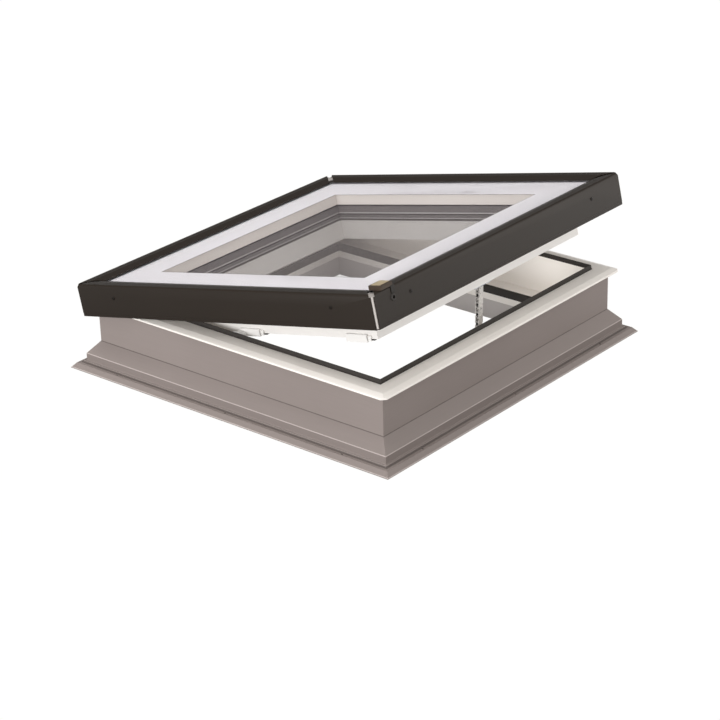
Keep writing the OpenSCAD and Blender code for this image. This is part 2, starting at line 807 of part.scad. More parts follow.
module sensor_grommet() {
  color(c_rubber) in_sash() translate([strap_x + 4, corner_y, cover_top - grommet_drop])
    rotate([90, 0, 0]) difference() {
      union() {
        translate([0, 0, 0.1]) cylinder(r1 = grommet_r, r2 = grommet_r - 1.5, h = 2.6);
        translate([0, 0, -cover_t - 1]) cylinder(r = grommet_hole_r + 1.4, h = cover_t + 2);
      }
      translate([0, 0, -6]) cylinder(r = grommet_hole_r, h = 12);
    }
}

// =============================== drive and chain ===============================

ear_x0 = 7.5;
ear_t = 2;

// Bracket at the sash's lower edge; its two ears stand up inside the profile
module chain_bracket() {
  color(c_steel) in_sash() translate([0, hook_y, sash_bottom]) difference() {
    union() {
      span_box([-32, -12.5, -2], [32, 12.5, 0]);
      for (s = [-1, 1]) mirror([s < 0 ? 1 : 0, 0, 0])
        span_box([ear_x0, -6, -1], [ear_x0 + ear_t, 6, hook_z - sash_bottom + 6]);
    }
    span_box([-ear_x0, -9, -3], [ear_x0, 9, 1]);
    for (x = [-23, 23]) translate([x, 0, -3]) cylinder(r = screw_r + 0.2, h = 4);
    translate([-20, 0, hook_z - sash_bottom]) rotate([0, 90, 0]) cylinder(r = 3, h = 40);
  }
}

// The bracket's pin with its two washers, and the bracket's two screws
module chain_bracket_pin() {
  color(c_steel) in_sash() translate([0, hook_y, 0]) {
    translate([-ear_x0 - ear_t - 3, 0, hook_z]) rotate([0, 90, 0])
      cylinder(r = 3, h = 2 * (ear_x0 + ear_t + 3));
    for (x = [-23, 23]) translate([x, 0, sash_bottom - 2]) mirror([0, 0, 1])
      screw(8, 3.6, 1.4);
  }
}

// Eye on the bracket pin, joined to the last chain rivet; it reaches down from the pin
module chain_end_link() {
  body_x1 = 5.5;
  color(c_steel) in_drive() translate([0, 0, chain_span]) difference() {
    union() {
      translate([-ear_x0 + 0.6, 0, 0]) rotate([0, 90, 0])
        cylinder(r = end_eye_r, h = 2 * ear_x0 - 1.2);
      span_box([-5, -inner_y + 0.2, -end_link_len + plate_r + 0.8], [body_x1, inner_y - 0.2, -2]);
      translate([0, inner_y - 0.2, -end_link_len]) rotate([90, 0, 0])
        cylinder(r = plate_r, h = 2 * inner_y - 0.4);
      span_box([-plate_r, -inner_y + 0.2, -end_link_len], [plate_r, inner_y - 0.2, -2]);
    }
    translate([-20, 0, 0]) rotate([0, 90, 0]) cylinder(r = 3 + run_gap, h = 40);
    translate([0, 20, -end_link_len]) rotate([90, 0, 0]) cylinder(r = rivet_r + run_gap, h = 40);
  }
}

// Rivet number i, counted down from the last one; below the sprocket they wrap round it
function rivet_xz(i) = i <= chain_links
  ? [0, last_rivet - i * chain_pitch]
  : [-sprocket_r + sprocket_r * cos((i - chain_links) * 360 / teeth),
     sprocket_z - sprocket_r * sin((i - chain_links) * 360 / teeth)];
function link_turn(i) = i < chain_links ? 0 : (i - chain_links + 0.5) * 360 / teeth;

// Puts its child at a rivet, with the link's far rivet straight below it
module at_link(i) {
  p = rivet_xz(i);
  translate([p[0], 0, p[1]]) rotate([0, link_turn(i), 0]) children();
}

// One plate of a link, from y to y + plate_t, with its two rivet holes
module link_plate(y) {
  translate([0, y + plate_t, 0]) rotate([90, 0, 0]) linear_extrude(plate_t) difference() {
    union() {
      circle(r = plate_r);
      translate([0, -chain_pitch]) circle(r = plate_r);
      translate([-plate_r + 1.4, -chain_pitch]) square([plate_r, chain_pitch]);
      translate([0, -chain_pitch - plate_r + 0.9]) square([plate_back, chain_pitch + 2 * plate_r - 1.8]);
    }
    circle(r = rivet_r);
    translate([0, -chain_pitch]) circle(r = rivet_r);
  }
}

all_links = chain_links + wrap_links;

module chain_outer_links() {
  color(c_steel) in_drive() for (i = [0:2:all_links - 1]) at_link(i) {
    link_plate(outer_y);
    link_plate(-outer_y - plate_t);
  }
}

module chain_inner_links() {
  color(c_steel) in_drive() for (i = [1:2:all_links - 1]) at_link(i) {
    link_plate(inner_y);
    link_plate(-inner_y - plate_t);
  }
}

// Rivets with their bushes
module chain_rivets() {
  color(c_spacer) in_drive() for (i = [0:all_links]) translate([rivet_xz(i)[0], 0, rivet_xz(i)[1]])
    rotate([90, 0, 0]) {
      translate([0, 0, -outer_y - plate_t - 0.5]) cylinder(r = rivet_r, h = 2 * (outer_y + plate_t) + 1);
      if (i > 0) translate([0, 0, -inner_y]) cylinder(r = bush_r, h = 2 * inner_y);
    }
}

module drive_sprocket() {
  color(c_steel) in_drive() translate([-sprocket_r, 2.7, sprocket_z]) rotate([90, 0, 0])
    difference() {
      cylinder(r = sprocket_r + 1.2, h = 5.4);
      for (k = [0:teeth - 1]) rotate([0, 0, k * 360 / teeth]) translate([sprocket_r, 0, -1])
        cylinder(r = bush_r + 0.3, h = 8);
      translate([0, 0, -1]) cylinder(r = shaft_r, h = 8);
    }
}

module sprocket_shaft() {
  color(c_steel) in_drive() translate([-sprocket_r, house_y1 - 0.3, sprocket_z])
    rotate([90, 0, 0]) cylinder(r = shaft_r, h = house_y1 - house_y0 - 0.6);
}

// Open-topped housing with the shaft's two bearing holes
module drive_housing() {
  color(c_housing) in_drive() difference() {
    span_box([house_x0, house_y0, house_z0], [house_x1, house_y1, house_z1 - house_t]);
    span_box([house_x0 + house_t, house_y0 + house_t, house_z0 + house_t],
             [house_x1 - house_t, house_y1 - house_t, house_z1 + 1]);
    translate([-sprocket_r, house_y1 + 1, sprocket_z]) rotate([90, 0, 0])
      cylinder(r = shaft_r + run_gap, h = house_y1 - house_y0 + 2);
  }
}

module drive_lid() {
  color(c_housing) in_drive() difference() {
    span_box([house_x0, house_y0, house_z1 - house_t], [house_x1, house_y1, house_z1]);
    span_box([slot_x0 + 2, -6.7, house_z1 - house_t - 1], [slot_x1 - 2, house_y1 - 1.6, house_z1 + 1]);
  }
}

motor_r = 12;
motor_shaft_r = 1.8;
motor_z = -34;
motor_y = -9.6;
case_x1 = 19;

module drive_motor() {
  color(c_steel) in_drive() translate([case_x1, motor_y, motor_z]) rotate([0, 90, 0]) {
    translate([0, 0, 0.3]) cylinder(r = motor_r, h = 104);
    translate([0, 0, 104]) cylinder(r = 5, h = 4);
    translate([0, 0, -14]) cylinder(r = motor_shaft_r, h = 16);
  }
}

// Worm gear case beside the sprocket, standing on the housing's floor
module drive_gear_case() {
  color(c_housing) in_drive() difference() {
    span_box([-40, house_y0 + house_t, house_z0 + house_t],
             [case_x1, -outer_y - plate_t - 1.2, house_z1 - house_t - 1]);
    translate([case_x1 - 15, motor_y, motor_z]) rotate([0, 90, 0])
      cylinder(r = motor_shaft_r, h = 20);
    translate([-sprocket_r, 0, sprocket_z]) rotate([90, 0, 0])
      cylinder(r = shaft_r + run_gap, h = 40);
  }
}

// End cap with the stub that the drive swivels on
module drive_cap(s) {
  x = s < 0 ? house_x0 : house_x1;
  color(c_spacer) in_drive() translate([x, 0, 0]) mirror([s < 0 ? 1 : 0, 0, 0]) {
    span_box([0, house_y0, house_z0], [cap_t, house_y1, house_z1]);
    rotate([0, 90, 0]) cylinder(r = swivel_r, h = cap_t + bracket_t + 5);
  }
}

module drive_cap_left() drive_cap(-1);
module drive_cap_right() drive_cap(1);

// Bracket under the rebate floor that carries one stub of the drive
module drive_bracket(s) {
  x = (s < 0 ? house_x0 : house_x1) + s * (cap_t + 1);
  top = floor_z - liner_t;
  color(c_steel) translate([x, drive_y, 0]) mirror([s < 0 ? 1 : 0, 0, 0]) difference() {
    union() {
      span_box([0, -9, drive_z], [bracket_t, 9, top]);
      translate([0, 0, drive_z]) rotate([0, 90, 0]) cylinder(r = 9, h = bracket_t);
      span_box([0, -9, top - 2.5], [24, 9, top]);
    }
    translate([-1, 0, drive_z]) rotate([0, 90, 0])
      cylinder(r = swivel_r + run_gap, h = bracket_t + 2);
  }
}

module drive_bracket_left() drive_bracket(-1);
module drive_bracket_right() drive_bracket(1);

// ================================= the parts =================================

curb_profile();
inner_liner();
lower_lining();
outer_insulation();
inner_insulation();
rim_gasket();
ledge_gasket();
guide_posts();
hinge_curb_leaf_left();
hinge_curb_leaf_right();
hinge_pin_left();
hinge_pin_right();
hinge_curb_screws();
drive_bracket_left();
drive_bracket_right();
chain_outlet();
cable_gland();
sash_frame();
sash_steel();
glazing_frame();
top_pane();
glass_border();
unit_outer_pane();
unit_middle_pane();
unit_inner_pane();
upper_spacer();
lower_spacer();
glazing_gasket();
cover_gasket();
cover_front();
cover_back();
cover_left();
cover_right();
cover_clips();
corner_keys();
cover_screws();
guide_blocks();
block_feet();
sensor_body();
sensor_field();
sensor_strap();
sensor_grommet();
hinge_sash_leaf_left();
hinge_sash_leaf_right();
hinge_sash_screws();
chain_bracket();
chain_bracket_pin();
drive_housing();
drive_lid();
drive_motor();
drive_gear_case();
drive_cap_left();
drive_cap_right();
chain_outer_links();
chain_inner_links();
chain_rivets();
drive_sprocket();
sprocket_shaft();
chain_end_link();
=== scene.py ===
import math

import bmesh
import bpy
from mathutils import Matrix, Vector


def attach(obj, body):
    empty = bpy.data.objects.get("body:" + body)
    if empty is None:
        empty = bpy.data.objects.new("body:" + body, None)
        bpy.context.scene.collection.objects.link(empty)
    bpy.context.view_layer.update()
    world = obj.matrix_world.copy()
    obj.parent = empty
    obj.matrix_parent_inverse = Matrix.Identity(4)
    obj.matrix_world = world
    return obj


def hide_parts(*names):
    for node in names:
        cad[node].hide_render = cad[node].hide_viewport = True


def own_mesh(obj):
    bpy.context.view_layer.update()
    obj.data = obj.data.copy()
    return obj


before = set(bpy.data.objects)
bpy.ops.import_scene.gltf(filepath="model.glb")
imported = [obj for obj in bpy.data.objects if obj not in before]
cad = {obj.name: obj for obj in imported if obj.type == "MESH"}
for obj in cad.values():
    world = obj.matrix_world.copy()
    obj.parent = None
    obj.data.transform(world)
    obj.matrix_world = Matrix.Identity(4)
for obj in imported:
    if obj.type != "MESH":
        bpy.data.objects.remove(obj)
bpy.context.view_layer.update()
bpy.ops.object.select_all(action="DESELECT")
scene = bpy.context.scene
scene.view_settings.view_transform = "Standard"
scene.cycles.transparent_max_bounces = 40

# ---- Camera, floor and light ----
# A long lens looks at the corner where the rain sensor sits, on a pale floor that
# throws no shadow, in soft light that comes mostly from the left.
azimuth, elevation, roll = math.radians(-49.89), math.radians(24.53), math.radians(-1.63)
camera_away, camera_right, camera_down = 5.7074, 0.00619, 0.02732
back = Vector((math.sin(azimuth) * math.cos(elevation),
               -math.cos(azimuth) * math.cos(elevation), math.sin(elevation)))
right = Vector((math.cos(azimuth), math.sin(azimuth), 0))
up = back.cross(right)
lens = bpy.data.cameras.new("camera")
lens.lens, lens.sensor_width, lens.clip_end = 113.467, 36, 100
camera = bpy.data.objects.new("camera", lens)
scene.collection.objects.link(camera)
scene.camera = camera
turned_right = math.cos(roll) * right + math.sin(roll) * up
turned_up = math.cos(roll) * up - math.sin(roll) * right
camera_place = back * camera_away + right * camera_right - up * camera_down
camera.matrix_world = Matrix.Translation(camera_place) @ \
    Matrix((turned_right, turned_up, back)).transposed().to_4x4()


class Value:
    """A socket of one material that works in sums."""

    def __init__(self, tree, socket):
        self.tree, self.socket = tree, socket

    def math(self, operation, other=None, first=False):
        node = self.tree.nodes.new("ShaderNodeMath")
        node.operation = operation
        terms = [self] if other is None else [other, self] if first else [self, other]
        for place, term in enumerate(terms):
            plug(self.tree, node.inputs[place], term)
        return Value(self.tree, node.outputs[0])

    def __add__(self, other):
        return self.math("ADD", other)

    def __sub__(self, other):
        return self.math("SUBTRACT", other)

    def __mul__(self, other):
        return self.math("MULTIPLY", other)

    def __truediv__(self, other):
        return self.math("DIVIDE", other)

    def __rsub__(self, other):
        return self.math("SUBTRACT", other, True)

    def __lt__(self, other):
        return self.math("LESS_THAN", other)

    def __gt__(self, other):
        return self.math("GREATER_THAN", other)

    def __abs__(self):
        return self.math("ABSOLUTE")

    def most(self, other):
        return self.math("MAXIMUM", other)

    __radd__, __rmul__ = __add__, __mul__


def plug(tree, socket, value):
    """Links a value to a socket, or sets it."""
    if isinstance(value, Value):
        tree.links.new(value.socket, socket)
    else:
        socket.default_value = value


class Finish:
    """A material: constants go on its shader's own sockets, and patterns through add."""

    def __init__(self, name, **constants):
        self.material = bpy.data.materials.new(name)
        self.material.use_nodes = True
        self.tree = self.material.node_tree
        self.shader = self.tree.nodes["Principled BSDF"]
        self.set(**constants)
        self.place = self.add("ShaderNodeTexCoord", out="Object")

    def set(self, **values):
        for name, value in values.items():
            plug(self.tree, self.shader.inputs[name.replace("_", " ")], value)

    def add(self, kind, settings=None, out=0, **sockets):
        node = self.tree.nodes.new(kind)
        for name, value in (settings or {}).items():
            setattr(node, name, value)
        for name, value in sockets.items():
            plug(self.tree, node.inputs[int(name[1:]) if name[1:].isdigit()
                                        else name.replace("_", " ")], value)
        return Value(self.tree, node.outputs[out])

    def axes(self):
        """The three numbers of the place."""
        return [self.add("ShaderNodeSeparateXYZ", out=axis, i0=self.place) for axis in range(3)]

    def reach(self, direction, start=(0, 0, 0)):
        """How far the place lies from a start along a direction."""
        way = self.add("ShaderNodeVectorMath", {"operation": "SUBTRACT"},
                       i0=self.place, i1=tuple(start))
        return self.add("ShaderNodeVectorMath", {"operation": "DOT_PRODUCT"}, out="Value",
                        i0=way, i1=direction)

    def noise(self, scale, stretch=(1, 1, 1), detail=3.0, rough=0.55):
        """Noise around 0, about -0.5 to 0.5."""
        place = self.add("ShaderNodeVectorMath", {"operation": "MULTIPLY"},
                         i0=self.place, i1=stretch)
        return self.add("ShaderNodeTexNoise", Vector=place, Scale=scale, Detail=detail,
                        Roughness=rough) - 0.5

    def blend(self, share, first, second):
        """A colour between two, by a share from 0 to 1."""
        return self.add("ShaderNodeMix", {"data_type": "RGBA"}, out=2,
                        i0=share, i6=first, i7=second)

    def tones(self, share, dark, light):
        """A colour between two, with the share kept within 0 and 1."""
        kept = self.add("ShaderNodeClamp", Value=share)
        return self.blend(kept, dark, light)

    def bump(self, height, depth, strength=1.0):
        self.set(Normal=self.add("ShaderNodeBump", Height=height, Distance=depth,
                                 Strength=strength))


def tone(red, green, blue):
    """A screen colour from 0 to 255 as Blender's linear one."""
    return tuple([(c / 255 / 12.92) if c <= 10 else ((c / 255 + 0.055) / 1.055) ** 2.4
                  for c in (red, green, blue)] + [1.0])


def seen_or_thrown(tree, seen, thrown):
    """The light that the camera sees, or what a surface throws on the object."""
    sight = tree.nodes.new("ShaderNodeLightPath")
    sight = Value(tree, sight.outputs["Is Camera Ray"])
    return sight * seen + (1 - sight) * thrown


warm_white, seen_level = (1, 0.995, 0.985, 1), 1.02
dark_ring, well_radius, far_start = 0.55, 0.42, 1.3
floor_finish = Finish("pale_floor")
away = floor_finish.add("ShaderNodeVectorMath", {"operation": "LENGTH"}, out="Value",
                        i0=floor_finish.place)
glow = floor_finish.tree.nodes.new("ShaderNodeEmission")
glow.inputs["Color"].default_value = warm_white
far_right = floor_finish.reach((0.7, -0.7, 0))
around = floor_finish.add("ShaderNodeClamp", Max=0.9,
                          Value=abs(away - dark_ring) * 0.8 + 0.12)
beyond = floor_finish.add("ShaderNodeClamp", Max=1.1, Value=(far_right - far_start) * 0.9)
in_well = (well_radius - away).most(0) * 2.5
plug(floor_finish.tree, glow.inputs["Strength"],
     seen_or_thrown(floor_finish.tree, seen_level, around + beyond + in_well))
floor_finish.tree.links.new(
    glow.outputs[0], floor_finish.tree.nodes["Material Output"].inputs["Surface"])
bpy.ops.mesh.primitive_circle_add(vertices=96, radius=14, fill_type="NGON",
                                  location=(0, 0, -0.0006))
floor = bpy.context.object
floor.name = "floor"
floor.data.materials.append(floor_finish.material)
floor.select_set(False)

world = bpy.data.worlds.new("pale_studio")
scene.world = world
world.use_nodes = True
sky = world.node_tree
toward = sky.nodes.new("ShaderNodeVectorMath")
toward.operation = "DOT_PRODUCT"
sky.links.new(sky.nodes.new("ShaderNodeTexCoord").outputs["Generated"], toward.inputs[0])
toward.inputs[1].default_value = (-0.26, -0.42, 0.12)
level = (Value(sky, toward.outputs["Value"]) + 0.60).most(0.06)
sky.nodes["Background"].inputs["Color"].default_value = warm_white
plug(sky, sky.nodes["Background"].inputs["Strength"], seen_or_thrown(sky, seen_level, level))


def soft_light(name, place, size, power, tint=(1, 1, 1), aim=(0, 0, 0), spread=180):
    """A square lamp that looks at a point; only a large one is seen and mirrored."""
    light = bpy.data.lights.new(name, "AREA")
    light.shape, light.size, light.energy, light.color = "SQUARE", size, power, tint
    light.spread = math.radians(spread)
    lamp = bpy.data.objects.new(name, light)
    scene.collection.objects.link(lamp)
    lamp.location = place
    lamp.rotation_mode = "QUATERNION"
    lamp.rotation_quaternion = (Vector(place) - Vector(aim)).to_track_quat("Z", "Y")
    lamp.visible_camera = lamp.visible_glossy = size > 1


soft_light("left_softbox", (-5.4, 0.4, 0.9), 2.6, 205)
soft_light("top_softbox", (-0.6, 1.0, 5.5), 3.2, 135)
soft_light("right_softbox", (4.6, -4.4, 1.4), 3.0, 75, (1, 0.94, 0.88))
soft_light("gap_fill", (0.18, -0.345, 0.185), 0.06, 0.032, (1, 0.98, 0.96),
           (0.39, -0.31, 0.16), 75)

# ---- Curb profile ----
# A hollow weather-proof profile of through-coloured grey plastic, extruded in bars
# and mitre-welded at the corners; its flange is screwed to the roof.
hinge = Vector((0, 0.4507, 0.1863))
open_angle = math.radians(12.3)
weld_gap, flat_turn, sharp_turn = 0.00001, math.radians(1), math.radians(28)
wall_half, flange_low, flange_high = 0.45, 0.006, 0.0145


def copy_of(name, body, material, bevel=0.0, segments=2, fold=30):
    """A welded copy of a CAD node that replaces the node. With a bevel, its long folds
    are softened, its short sharp edges stay sharp, and its curved faces shade smooth."""
    source = cad[name]
    piece = bpy.data.objects.new("fine_" + name, source.data.copy())
    scene.collection.objects.link(piece)
    bpy.context.view_layer.objects.active = piece
    piece.select_set(True)
    piece.data.materials.clear()
    piece.data.materials.append(material)
    bpy.ops.object.mode_set(mode="EDIT")
    bpy.ops.mesh.select_all(action="SELECT")
    bpy.ops.mesh.remove_doubles(threshold=weld_gap)
    bpy.ops.mesh.dissolve_limited(angle_limit=flat_turn)
    bpy.ops.object.mode_set(mode="OBJECT")
    if bevel:
        bpy.ops.object.shade_smooth()
        shape = bmesh.new()
        shape.from_mesh(piece.data)
        weight = shape.edges.layers.float.new("bevel_weight_edge")
        for edge in shape.edges:
            turn = edge.calc_face_angle(0)
            if turn > math.radians(fold) and edge.calc_length() > 4 * bevel:
                edge[weight] = 1
            elif turn > sharp_turn:
                edge.smooth = False
        shape.to_mesh(piece.data)
        shape.free()
        soften = piece.modifiers.new("soft_edges", "BEVEL")
        soften.width, soften.segments = bevel, segments
        soften.limit_method = "WEIGHT"
        bpy.ops.object.modifier_apply(modifier=soften.name)
        flatten = piece.modifiers.new("flat_faces_stay_flat", "WEIGHTED_NORMAL")
        flatten.weight, flatten.keep_sharp = 100, True
        bpy.ops.object.modifier_apply(modifier=flatten.name)
    piece.select_set(False)
    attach(piece, body)
    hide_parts(name)
    return piece


def paint(material, *names):
    """Gives CAD nodes their finish."""
    for name in names:
        mesh = cad[name].data
        mesh.materials.clear()
        mesh.materials.append(material)


def plastic(name, dark, light, rough, streaks=0.5, gloss=0.5, lines_at=()):
    """Extruded plastic: faint streaks along the bar, a cloudy tone, and thin lines of painted
    highlight and painted shade. Each line has the way it is measured (height, or out from
    the wall), its middle, half its width, its colour and its strength."""
    finish = Finish(name, IOR=1.5, Specular_IOR_Level=gloss)
    x, y, z = finish.axes()
    lines = finish.noise(9, (1, 1, 60), 4.0, 0.6)
    cloud = finish.noise(3.2, detail=2.0)
    grain = finish.noise(900, detail=1.0)
    share = 0.5 + lines * (0.7 * streaks) + cloud * 0.6 + grain * 0.15
    colour = finish.tones(share, dark, light)
    out = abs(x).most(abs(y)) - wall_half
    for along, middle, half, shade, strength in lines_at:
        inside = ((z < flange_high) * (z > flange_low) if along == "out"
                  else out > -0.001)
        line = abs((out if along == "out" else z) - middle) < half
        colour = finish.blend(line * inside * strength, colour, shade)
    finish.set(Base_Color=colour, Roughness=rough + cloud * 0.12 + lines * 0.08)
    finish.bump(lines * 0.35 + grain * 0.12, 0.0003, 0.5)
    return finish.material


# Painted light and shade on the curb: dark lines where folds and grooves lie in shade, light
# lines where edges catch the light, and painted shade over the splay and step.
painted_light_lines = [
    ("z", 0.0340, 0.0340, tone(110, 101, 97), 0.32),    # painted shade over the whole splay and step
    ("z", 0.0680, 0.0010, tone(98, 89, 85), 0.9),       # painted shade in the crease at the top of the splay
    ("z", 0.0366, 0.0010, tone(200, 188, 184), 0.7),    # painted highlight along the foot of the splay
    ("z", 0.0148, 0.0012, tone(88, 80, 77), 0.9),       # painted shade at the foot of the step
    ("out", 0.0300, 0.0010, tone(170, 160, 156), 0.9),  # painted highlight along the ridge on the flange
    ("out", 0.0334, 0.0022, tone(100, 92, 88), 0.8),    # painted shade in the groove beside the ridge
    ("z", 0.0022, 0.0009, tone(186, 176, 172), 0.8)]    # painted highlight along the edge of the flange
curb_grey = plastic("curb_plastic", tone(136, 126, 122), tone(150, 139, 135), 0.45, 0.8, 0.35,
                    painted_light_lines)
copy_of("curb_profile", "curb", curb_grey, 0.0006, fold=4)

# ---- Liner, lining and foam ----
# White plastic profile that forms the rim, the rebate and the inner wall; a grey
# lining board closes its foot, and rigid foam fills both profiles.
liner_white = plastic("liner_plastic", tone(236, 230, 223), tone(247, 242, 236), 0.30, 0.5)
copy_of("inner_liner", "curb", liner_white, 0.0005, fold=4)
paint(plastic("lining_board", tone(180, 174, 172), tone(196, 190, 187), 0.5, 0.3),
      "lower_lining")

foam = Finish("white_foam", Roughness=0.85)
cells = foam.add("ShaderNodeTexVoronoi", Vector=foam.place, Scale=260.0)
foam.set(Base_Color=foam.tones(cells, tone(236, 238, 242), tone(214, 218, 224)))
foam.bump(cells, 0.0006)
paint(foam.material, "outer_insulation", "inner_insulation")

# ---- Rubber seals ----
# Black extruded rubber: a blade on the rim, a hollow lip on the rebate's edge, and
# the glazing seals, all pushed into grooves in the plastic.
def rubber(name, dark, light, rough=0.6):
    finish = Finish(name, IOR=1.5, Specular_IOR_Level=0.35)
    lines = finish.noise(14, (1, 1, 50), 3.0)
    dust = finish.noise(60, detail=4.0)
    finish.set(Base_Color=finish.tones(0.5 + lines * 0.8 + dust * 0.7, dark, light),
               Roughness=rough + dust * 0.2)
    finish.bump(lines * 0.4 + dust * 0.2, 0.0004, 0.6)
    return finish.material


seal_black = rubber("seal_rubber", tone(33, 29, 26), tone(54, 49, 45))
copy_of("rim_gasket", "curb", seal_black, 0.0003, fold=25)
paint(seal_black, "ledge_gasket", "cable_gland")
paint(rubber("glazing_rubber", tone(92, 86, 84), tone(114, 108, 105)), "glazing_gasket")
paint(rubber("cover_rubber", tone(40, 38, 38), tone(60, 58, 57)), "cover_gasket")

# ---- Metal fittings ----
# Zinc-plated pressed steel for hinges and brackets, and bright turned steel for
# pins, shafts and screws.
def steel(name, dark, light, rough, grain=(1, 1, 1)):
    finish = Finish(name, Metallic=0.95)
    cloud = finish.noise(40, grain, 4.0)
    fine = finish.noise(500, grain, 2.0)
    finish.set(Base_Color=finish.tones(0.5 + cloud + fine * 0.3, dark, light),
               Roughness=rough + cloud * 0.2 + fine * 0.1)
    finish.bump(fine, 0.0001, 0.4)
    return finish.material


zinc = steel("zinc_steel", tone(150, 152, 156), tone(190, 192, 196), 0.42)
bright = steel("bright_steel", tone(176, 176, 178), tone(212, 212, 214), 0.25, (8, 1, 8))
paint(zinc, "hinge_curb_leaf_left", "hinge_curb_leaf_right", "hinge_sash_leaf_left",
      "hinge_sash_leaf_right", "drive_bracket_left", "drive_bracket_right", "sash_steel",
      "chain_bracket")
paint(bright, "hinge_pin_left", "hinge_pin_right", "hinge_curb_screws",
      "hinge_sash_screws", "chain_bracket_pin", "drive_sprocket", "sprocket_shaft")

# ---- Guide posts and chain outlet ----
# White moulded posts screwed into the rebate, and a grey plate round the slot that
# the chain comes up through.
moulded_white = plastic("moulded_white", tone(224, 221, 218), tone(238, 236, 233), 0.38, 0.15)
moulded_grey = plastic("moulded_grey", tone(178, 171, 166), tone(194, 187, 182), 0.45, 0.15)
copy_of("guide_posts", "curb", moulded_white, 0.0010, 3)
paint(moulded_grey, "chain_outlet")

# ---- Sash frame ----
# White plastic sash, welded from hollow bars with a steel tube inside, which
# carries the glazing frame, the covers and the guide blocks.
copy_of("sash_frame", "sash", plastic("sash_plastic", tone(222, 218, 214), tone(238, 235, 232),
                                      0.30, 0.4), 0.0005, fold=4)
paint(plastic("glazing_plastic", tone(208, 200, 195), tone(222, 215, 210), 0.35, 0.3),
      "glazing_frame")
paint(moulded_white, "cover_clips")

# ---- Glazing ----
# A flat outer pane with a fired white border on its underside, over a sealed unit
# of three panes held apart by dark spacers.
sash_up = (0, math.sin(open_angle), math.cos(open_angle))
border_line = 0.3329
upper_butyl, lower_butyl = (0.1600, 0.1650), (0.1480, 0.1505)


def pane_glass(name, veil, tint):
    finish = Finish(name, Base_Color=tint, IOR=1.45, Specular_IOR_Level=0.5)
    smear = finish.noise(5, detail=3.0)
    finish.set(Alpha=veil + smear * 0.01, Roughness=0.03 + smear * 0.02)
    return finish.material


paint(pane_glass("outer_glass", 0.03, tone(196, 192, 202)), "top_pane")
paint(pane_glass("unit_glass", 0.085, tone(146, 137, 133)), "unit_outer_pane",
      "unit_middle_pane", "unit_inner_pane")

enamel = Finish("white_enamel", IOR=1.5, Specular_IOR_Level=0.4)
mottle = enamel.noise(700, detail=2.0)
wash = enamel.noise(2.5, detail=2.0)
sash_back = (0, math.cos(open_angle), -math.sin(open_angle))
deep = enamel.reach(sash_back, hinge) + hinge.y
# Painted shade: inside the border's inner line, along its inner edge, the enamel is dark grey.
shaded_inner_edge = abs(enamel.axes()[0]).most(abs(deep)) < border_line
printed = enamel.tones(0.5 + mottle * 0.9 + wash * 0.8, tone(230, 225, 228),
                       tone(250, 247, 251))
enamel.set(Base_Color=enamel.blend(shaded_inner_edge, printed, tone(112, 104, 100)),
           Roughness=0.25 + mottle * 0.1)
enamel.bump(mottle, 0.00005, 0.3)
paint(enamel.material, "glass_border")

spacer = Finish("spacer_bar", IOR=1.5)
height = spacer.reach(sash_up, hinge) + hinge.z
butyl = sum((height > low) * (height < high) for low, high in (upper_butyl, lower_butyl))
speck = spacer.noise(300, detail=2.0)
spacer.set(Base_Color=spacer.blend(butyl, spacer.tones(0.5 + speck, tone(84, 78, 80),
                                                       tone(102, 96, 97)),
                                   tone(170, 166, 166)), Roughness=0.5 + speck * 0.2)
paint(spacer.material, "upper_spacer", "lower_spacer")

# ---- Covers ----
# Four folded sheets of dark powder-coated aluminium, one a side, clipped over the
# glass edge and screwed through the face; light corner keys show in the gaps.
def powder_coat(name, dark, light, rough):
    finish = Finish(name, IOR=1.5, Specular_IOR_Level=0.17)
    peel = finish.noise(420, detail=2.0)
    cloud = finish.noise(4, detail=3.0)
    finish.set(Base_Color=finish.tones(0.5 + cloud * 0.4 + peel * 0.6, dark, light),
               Roughness=rough + peel * 0.12 + cloud * 0.06)
    finish.bump(peel, 0.0002, 0.35)
    return finish.material


cover_dark = powder_coat("dark_powder_coat", tone(32, 26, 21), tone(43, 36, 30), 0.4)
for side in ("front", "back", "left", "right"):
    copy_of("cover_" + side, "sash", cover_dark, 0.0004, fold=4)
copy_of("corner_keys", "sash", moulded_grey, 0.0006)

# ---- Cover screws ----
# Dark-coated pan-head screws with a cross recess, two a side.
screw_finish = powder_coat("dark_screw", tone(20, 16, 12), tone(30, 24, 19), 0.3)
head_radius, head_height, recess_size = 0.0042, 0.0019, (0.0050, 0.0009, 0.0014)
screw_across, cover_face, screw_rise, screw_z = 0.355, 0.4835, 0.0008, 0.19535
bpy.ops.mesh.primitive_cylinder_add(vertices=40, radius=head_radius, depth=head_height)
head = bpy.context.object
pan = head.modifiers.new("pan_top", "BEVEL")
pan.width, pan.segments, pan.limit_method = 0.0009, 4, "ANGLE"
bpy.ops.object.modifier_apply(modifier=pan.name)
bpy.ops.mesh.primitive_cube_add(size=1, location=(0, 0, 0.0009))
recess = bpy.context.object
recess.scale = recess_size
bpy.ops.object.transform_apply(location=True, scale=True)
bpy.ops.object.mode_set(mode="EDIT")
bpy.ops.mesh.select_all(action="SELECT")
bpy.ops.mesh.duplicate()
bpy.ops.transform.rotate(value=math.radians(90), orient_axis="Z", center_override=(0, 0, 0))
bpy.ops.mesh.select_all(action="SELECT")
bpy.ops.mesh.intersect_boolean(operation="UNION", use_self=True)
bpy.ops.object.mode_set(mode="OBJECT")
bpy.ops.object.select_all(action="DESELECT")
bpy.context.view_layer.objects.active = head
head.select_set(True)
cross = head.modifiers.new("cross_recess", "BOOLEAN")
cross.operation, cross.object, cross.solver = "DIFFERENCE", recess, "EXACT"
bpy.ops.object.modifier_apply(modifier=cross.name)
bpy.ops.object.shade_smooth_by_angle(angle=math.radians(35))
head.select_set(False)
bpy.data.objects.remove(recess)
head.data.materials.append(screw_finish)
swing = Matrix.Translation(hinge) @ Matrix.Rotation(-open_angle, 4, "X") @ \
    Matrix.Translation(-hinge)
